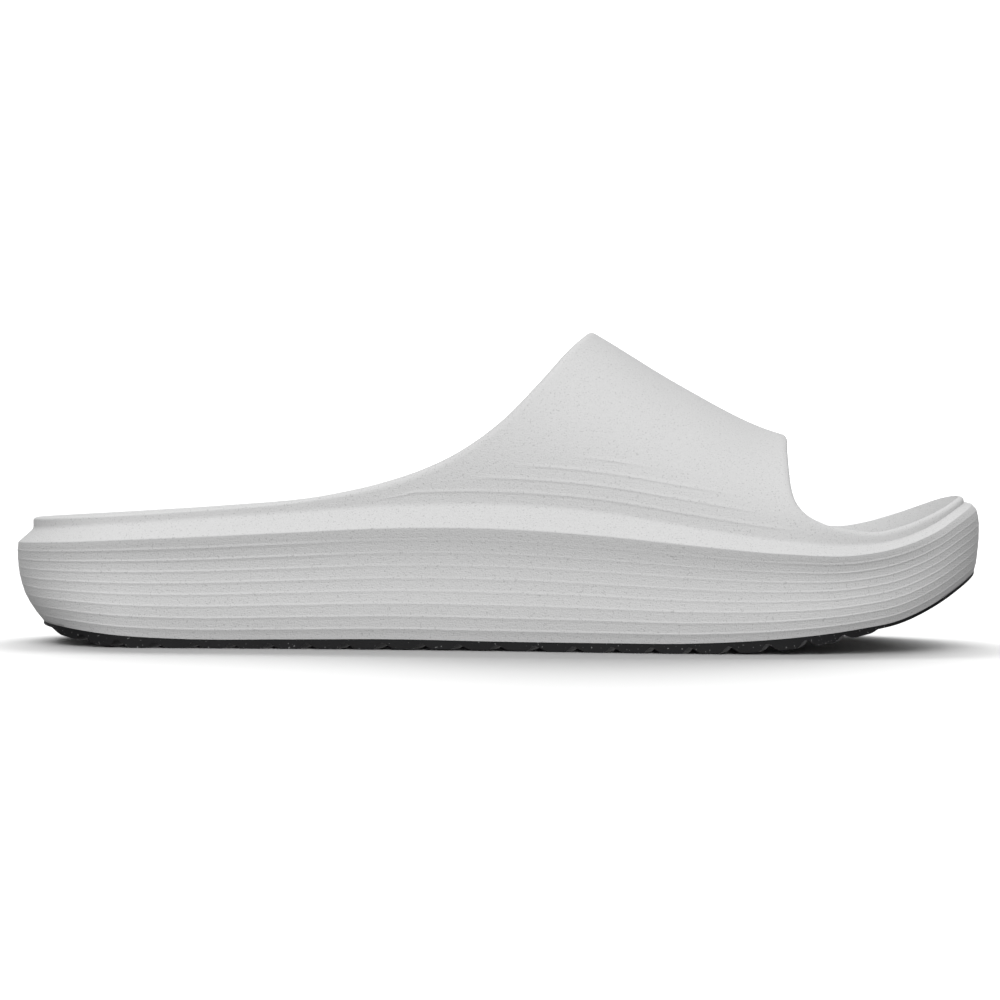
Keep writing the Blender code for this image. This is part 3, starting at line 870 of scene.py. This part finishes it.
def camera():
    """Camera square to the outer side, with the photo's frame, height and roll."""
    data = bpy.data.cameras.new("camera")
    data.sensor_width = SENSOR
    data.lens = SENSOR * CAMERA_DISTANCE / PHOTO_WIDTH
    data.clip_end = CAMERA_SIGHT
    made = bpy.data.objects.new("camera", data)
    bpy.context.scene.collection.objects.link(made)
    aim = Matrix.Translation((PHOTO_CENTRE_X * MM, 0, PHOTO_CENTRE_Z * MM))
    turn = Matrix.Rotation(math.pi / 2 - CAMERA_RISE, 4, "X") @ Matrix.Rotation(PHOTO_ROLL, 4, "Z")
    made.matrix_world = aim @ turn @ Matrix.Translation((0, 0, CAMERA_DISTANCE * MM))
    bpy.context.scene.camera = made


# Light: soft lobes of a white sky, as (direction, power, strength), and a weak glow all round
LOBES = (
    ((0.0, -0.03, 1.0), 2.0, 1.09),
    ((-0.11, -0.88, 0.46), 3.0, 1.91),
    ((0.0, 1.0, 0.0), 2.0, 0.81),
    ((0.0, -0.3, -0.95), 2.0, 0.13),
)
GLOW = 0.03

# Floor: level under the slide, and falling gently away in front of it
FLOOR_HALF = 30.0
FLOOR_LEVEL = 0.075
FLOOR_FALL = math.radians(4)
FLOOR_COLOUR = 0.42

# Two soft lamps behind the slide, turned to left and right of straight back
LAMP_TURN = math.radians(22)
LAMP_RISE = math.radians(40)
LAMP_SPREAD = math.radians(40)
LAMP_STRENGTH = 4.1


def sky():
    """White to the camera, and soft light from above, the front and behind, and off the floor."""
    world = bpy.data.worlds.new("studio")
    bpy.context.scene.world = world
    world.use_nodes = True
    nodes = world.node_tree.nodes
    links = world.node_tree.links

    def math_node(operation, *values):
        node = nodes.new("ShaderNodeMath")
        node.operation = operation
        for socket, value in zip(node.inputs, values):
            if isinstance(value, float):
                socket.default_value = value
            else:
                links.new(value, socket)
        return node.outputs["Value"]

    way = nodes.new("ShaderNodeTexCoord").outputs["Generated"]
    light = nodes.new("ShaderNodeLightPath").outputs["Is Camera Ray"]
    light = math_node("MAXIMUM", light, GLOW)
    for direction, power, strength in LOBES:
        along = nodes.new("ShaderNodeVectorMath")
        along.operation = "DOT_PRODUCT"
        along.inputs[1].default_value = direction
        links.new(way, along.inputs[0])
        lobe = math_node("MAXIMUM", along.outputs["Value"], 0.0)
        lobe = math_node("MULTIPLY", math_node("POWER", lobe, power), strength)
        light = math_node("ADD", light, lobe)
    links.new(light, nodes["Background"].inputs["Strength"])
    nodes["Background"].inputs["Color"].default_value = (1, 1, 1, 1)


def studio_floor():
    """Pale floor that takes shadows and throws no light back on the slide."""
    half = FLOOR_HALF
    drop = (half - FLOOR_LEVEL) * math.tan(FLOOR_FALL)
    profile = ((-half, -drop), (-FLOOR_LEVEL, 0), (half, 0))
    points = [(x, y, z) for y, z in profile for x in (-half, half)]
    mesh = bpy.data.meshes.new("floor")
    mesh.from_pydata(points, [], [(0, 1, 3, 2), (2, 3, 5, 4)])
    shader = Shader("pale_floor", 0.9, 0.1)
    shader.surface.inputs["Base Color"].default_value = (FLOOR_COLOUR, FLOOR_COLOUR, FLOOR_COLOUR, 1)
    mesh.materials.append(shader.material)
    made = bpy.data.objects.new("floor", mesh)
    made.visible_diffuse = False
    made.visible_glossy = False
    bpy.context.scene.collection.objects.link(made)
    return made


def floor_lamps(floor):
    """Lamps that light the floor alone, so that the slide's shadow falls in front of it."""
    lit = bpy.data.collections.new("lit_floor")
    lit.objects.link(floor)
    for turn in (-LAMP_TURN, LAMP_TURN):
        data = bpy.data.lights.new("floor_lamp", "SUN")
        data.energy = LAMP_STRENGTH
        data.angle = LAMP_SPREAD
        made = bpy.data.objects.new("floor_lamp", data)
        made.rotation_euler = (LAMP_RISE - math.pi / 2, 0, turn)
        made.light_linking.receiver_collection = lit
        bpy.context.scene.collection.objects.link(made)


camera()
sky()
floor_lamps(studio_floor())
foam_body(foam_finish())
outsole(rubber_finish())
pad = insole(pad_finish())
bpy.context.scene.view_settings.view_transform = "Standard"
